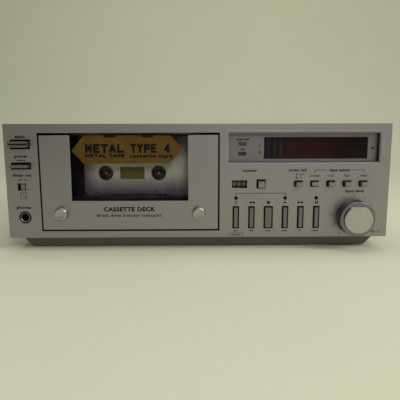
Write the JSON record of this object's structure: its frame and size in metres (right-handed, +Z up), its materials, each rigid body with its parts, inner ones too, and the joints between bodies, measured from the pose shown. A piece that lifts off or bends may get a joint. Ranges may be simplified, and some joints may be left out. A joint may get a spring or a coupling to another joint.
{
  "type": "cassette deck",
  "caption": "Compact front-loading cassette deck: tilting door with a loaded cassette, transport keys, push buttons, concentric level knobs, tape counter and a tape transport inside.",
  "frame": {"origin": "centre of the whole object's footprint, on the table", "axes": "+X to the right as seen from the front, +Y from the front panel to the rear, +Z up"},
  "size_m": [0.297, 0.259, 0.098],
  "materials": {
    "panel_aluminium": "satin brushed",
    "frame_plastic": "fine moulded grain",
    "case_steel": "metallic grey paint",
    "rear_steel": "dark satin paint",
    "foot_rubber": "matt",
    "screw_steel": "blackened",
    "bezel_silver": "satin",
    "filter_red": "smoked red",
    "tube_glass": "glass tube with dark segments",
    "jack_metal": "plated",
    "pot_metal": "plated",
    "circuit_board": "phenolic board",
    "transformer_iron": "varnished laminations",
    "switch_plastic": "moulded",
    "socket_metal": "plated",
    "mechanism_steel": "zinc plated",
    "motor_metal": "plated",
    "solenoid_coil": "taped winding",
    "belt_rubber": "matt",
    "pulley_plastic": "moulded",
    "door_acrylic": "clear",
    "thumbscrew_aluminium": "turned",
    "carrier_plastic": "moulded",
    "cassette_plastic": "smoky, slightly clear",
    "tape_plastic": "brown tape wound on a dark hub",
    "spindle_plastic": "moulded",
    "capstan_metal": "ground",
    "head_metal": "polished",
    "roller_rubber": "matt",
    "button_silver": "satin",
    "key_silver": "metallic paint",
    "knob_aluminium": "turned and brushed",
    "counter_plastic": "black with pale digits"
  },
  "bodies": {
    "chassis": {"front_panel": "panel_aluminium", "front_frame": "frame_plastic", "bottom_tray": "case_steel", "top_cover": "case_steel", "rear_panel": "rear_steel", "feet": "foot_rubber", "cover_screws": "screw_steel", "display_bezel": "bezel_silver", "display_window": "filter_red", "meter_tube": "tube_glass", "phones_jack": "jack_metal", "level_potentiometer": "pot_metal", "control_boards": "circuit_board", "main_board": "circuit_board", "power_transformer": "transformer_iron", "power_switch": "switch_plastic", "line_sockets": "socket_metal", "mains_inlet": "switch_plastic", "mechanism_plate": "mechanism_steel", "capstan_motor": "motor_metal", "reel_motor": "motor_metal", "counter_housing": "frame_plastic", "head_solenoid": "solenoid_coil", "counter_belt": "belt_rubber"},
    "door": {"door_cover": "panel_aluminium", "door_window": "door_acrylic", "door_thumbscrews": "thumbscrew_aluminium", "cassette_carrier": "carrier_plastic", "cassette_shell": "cassette_plastic"},
    "supply_hub": {"supply_hub": "tape_plastic"},
    "takeup_hub": {"takeup_hub": "tape_plastic"},
    "supply_spindle": {"supply_spindle": "spindle_plastic"},
    "takeup_spindle": {"takeup_spindle": "spindle_plastic"},
    "capstan": {"capstan_flywheel": "capstan_metal"},
    "reel_pulley": {"reel_pulley": "roller_rubber"},
    "counter_pulley": {"counter_pulley": "pulley_plastic"},
    "head_base": {"head_base": "mechanism_steel", "tape_heads": "head_metal"},
    "pinch_arm": {"pinch_arm": "mechanism_steel"},
    "pinch_roller": {"pinch_roller": "roller_rubber"},
    "eject_button": {"eject_button": "button_silver"},
    "power_button": {"power_button": "button_silver"},
    "timer_switch": {"timer_switch": "button_silver"},
    "record_key": {"record_key": "key_silver"},
    "rewind_key": {"rewind_key": "key_silver"},
    "stop_key": {"stop_key": "key_silver"},
    "play_key": {"play_key": "key_silver"},
    "forward_key": {"forward_key": "key_silver"},
    "pause_key": {"pause_key": "key_silver"},
    "noise_reduction_button": {"noise_reduction_button": "button_silver"},
    "normal_tape_button": {"normal_tape_button": "button_silver"},
    "chrome_tape_button": {"chrome_tape_button": "button_silver"},
    "ferrichrome_tape_button": {"ferrichrome_tape_button": "button_silver"},
    "metal_tape_button": {"metal_tape_button": "button_silver"},
    "counter_reset": {"counter_reset": "button_silver"},
    "level_ring": {"level_ring": "knob_aluminium"},
    "level_knob": {"level_knob": "knob_aluminium"},
    "counter_wheel_units": {"counter_wheel_units": "counter_plastic"},
    "counter_wheel_tens": {"counter_wheel_tens": "counter_plastic"},
    "counter_wheel_hundreds": {"counter_wheel_hundreds": "counter_plastic"}
  },
  "joints": [
    {"name": "door_hinge", "type": "hinge", "parent": "chassis", "child": "door", "pos_m": [-0.0533, -0.108, 0.0281], "axis": [1, 0, 0], "range_deg": [0, 25]},
    {"name": "supply_spindle_spin", "type": "hinge", "parent": "chassis", "child": "supply_spindle", "pos_m": [-0.07455, -0.0855, 0.0592], "axis": [0, 1, 0], "continuous": true},
    {"name": "takeup_spindle_spin", "type": "hinge", "parent": "chassis", "child": "takeup_spindle", "pos_m": [-0.03205, -0.0855, 0.0592], "axis": [0, 1, 0], "continuous": true},
    {"name": "supply_hub_spin", "type": "hinge", "parent": "door", "child": "supply_hub", "pos_m": [-0.07455, -0.0971, 0.0592], "axis": [0, 1, 0], "continuous": true},
    {"name": "takeup_hub_spin", "type": "hinge", "parent": "door", "child": "takeup_hub", "pos_m": [-0.03205, -0.0971, 0.0592], "axis": [0, 1, 0], "continuous": true},
    {"name": "capstan_spin", "type": "hinge", "parent": "chassis", "child": "capstan", "pos_m": [-0.0265, -0.0815, 0.0316], "axis": [0, 1, 0], "continuous": true},
    {"name": "reel_pulley_spin", "type": "hinge", "parent": "chassis", "child": "reel_pulley", "pos_m": [-0.0533, -0.0715, 0.0592], "axis": [0, 1, 0], "continuous": true},
    {"name": "counter_pulley_spin", "type": "hinge", "parent": "chassis", "child": "counter_pulley", "pos_m": [0.0319, -0.0837, 0.0515], "axis": [0, 1, 0], "continuous": true},
    {"name": "counter_hundreds_spin", "type": "hinge", "parent": "chassis", "child": "counter_wheel_hundreds", "pos_m": [0.02805, -0.1066, 0.0515], "axis": [1, 0, 0], "continuous": true},
    {"name": "counter_tens_spin", "type": "hinge", "parent": "chassis", "child": "counter_wheel_tens", "pos_m": [0.0318, -0.1066, 0.0515], "axis": [1, 0, 0], "continuous": true},
    {"name": "counter_units_spin", "type": "hinge", "parent": "chassis", "child": "counter_wheel_units", "pos_m": [0.03555, -0.1066, 0.0515], "axis": [1, 0, 0], "continuous": true},
    {"name": "head_base_rise", "type": "slide", "parent": "chassis", "child": "head_base", "axis": [0, 0, 1], "range_m": [0, 0.0055], "stiffness_N_per_m": 150, "springref_m": -0.002},
    {"name": "pinch_arm_swing", "type": "hinge", "parent": "chassis", "child": "pinch_arm", "pos_m": [-0.00875, -0.0895, 0.0218], "axis": [0, 1, 0], "range_deg": [0, 19.2], "stiffness_Nm_per_rad": 0.01, "springref_deg": -17.19},
    {"name": "pinch_roller_spin", "type": "hinge", "parent": "pinch_arm", "child": "pinch_roller", "pos_m": [-0.0265, -0.0971, 0.0188], "axis": [0, 1, 0], "continuous": true},
    {"name": "eject_push", "type": "slide", "parent": "chassis", "child": "eject_button", "axis": [0, 1, 0], "range_m": [0, 0.004], "stiffness_N_per_m": 300, "springref_m": -0.002},
    {"name": "power_push", "type": "slide", "parent": "chassis", "child": "power_button", "axis": [0, 1, 0], "range_m": [0, 0.004], "stiffness_N_per_m": 300, "springref_m": -0.002},
    {"name": "timer_slide", "type": "slide", "parent": "chassis", "child": "timer_switch", "axis": [1, 0, 0], "range_m": [-0.0028, 0]},
    {"name": "record_key_push", "type": "slide", "parent": "chassis", "child": "record_key", "axis": [0, 1, 0], "range_m": [0, 0.002], "stiffness_N_per_m": 300, "springref_m": -0.002},
    {"name": "rewind_key_push", "type": "slide", "parent": "chassis", "child": "rewind_key", "axis": [0, 1, 0], "range_m": [0, 0.002], "stiffness_N_per_m": 300, "springref_m": -0.002},
    {"name": "stop_key_push", "type": "slide", "parent": "chassis", "child": "stop_key", "axis": [0, 1, 0], "range_m": [0, 0.002], "stiffness_N_per_m": 300, "springref_m": -0.002},
    {"name": "play_key_push", "type": "slide", "parent": "chassis", "child": "play_key", "axis": [0, 1, 0], "range_m": [0, 0.002], "stiffness_N_per_m": 300, "springref_m": -0.002},
    {"name": "forward_key_push", "type": "slide", "parent": "chassis", "child": "forward_key", "axis": [0, 1, 0], "range_m": [0, 0.002], "stiffness_N_per_m": 300, "springref_m": -0.002},
    {"name": "pause_key_push", "type": "slide", "parent": "chassis", "child": "pause_key", "axis": [0, 1, 0], "range_m": [0, 0.002], "stiffness_N_per_m": 300, "springref_m": -0.002},
    {"name": "noise_reduction_push", "type": "slide", "parent": "chassis", "child": "noise_reduction_button", "axis": [0, 1, 0], "range_m": [0, 0.003], "stiffness_N_per_m": 250, "springref_m": -0.002},
    {"name": "chrome_tape_push", "type": "slide", "parent": "chassis", "child": "chrome_tape_button", "axis": [0, 1, 0], "range_m": [0, 0.003], "stiffness_N_per_m": 250, "springref_m": -0.002},
    {"name": "ferrichrome_tape_push", "type": "slide", "parent": "chassis", "child": "ferrichrome_tape_button", "axis": [0, 1, 0], "range_m": [0, 0.003], "stiffness_N_per_m": 250, "springref_m": -0.002},
    {"name": "metal_tape_push", "type": "slide", "parent": "chassis", "child": "metal_tape_button", "axis": [0, 1, 0], "range_m": [0, 0.003], "stiffness_N_per_m": 250, "springref_m": -0.002},
    {"name": "normal_tape_push", "type": "slide", "parent": "chassis", "child": "normal_tape_button", "axis": [0, 1, 0], "range_m": [-0.003, 0]},
    {"name": "counter_reset_push", "type": "slide", "parent": "chassis", "child": "counter_reset", "axis": [0, 1, 0], "range_m": [0, 0.0025], "stiffness_N_per_m": 250, "springref_m": -0.002},
    {"name": "level_ring_turn", "type": "hinge", "parent": "chassis", "child": "level_ring", "pos_m": [0.1217, -0.1215, 0.0254], "axis": [0, 1, 0], "range_deg": [-150, 150]},
    {"name": "level_knob_turn", "type": "hinge", "parent": "chassis", "child": "level_knob", "pos_m": [0.1217, -0.1215, 0.0254], "axis": [0, 1, 0], "range_deg": [-150, 150]}
  ],
  "couplings": [
    {"joint": "supply_hub_spin", "follows": "supply_spindle_spin", "ratio": 1},
    {"joint": "takeup_hub_spin", "follows": "takeup_spindle_spin", "ratio": 1},
    {"joint": "counter_pulley_spin", "follows": "takeup_spindle_spin", "ratio": 1},
    {"joint": "counter_units_spin", "follows": "takeup_spindle_spin", "ratio": 0.18},
    {"joint": "counter_tens_spin", "follows": "takeup_spindle_spin", "ratio": 0.018},
    {"joint": "counter_hundreds_spin", "follows": "takeup_spindle_spin", "ratio": 0.0018}
  ]
}
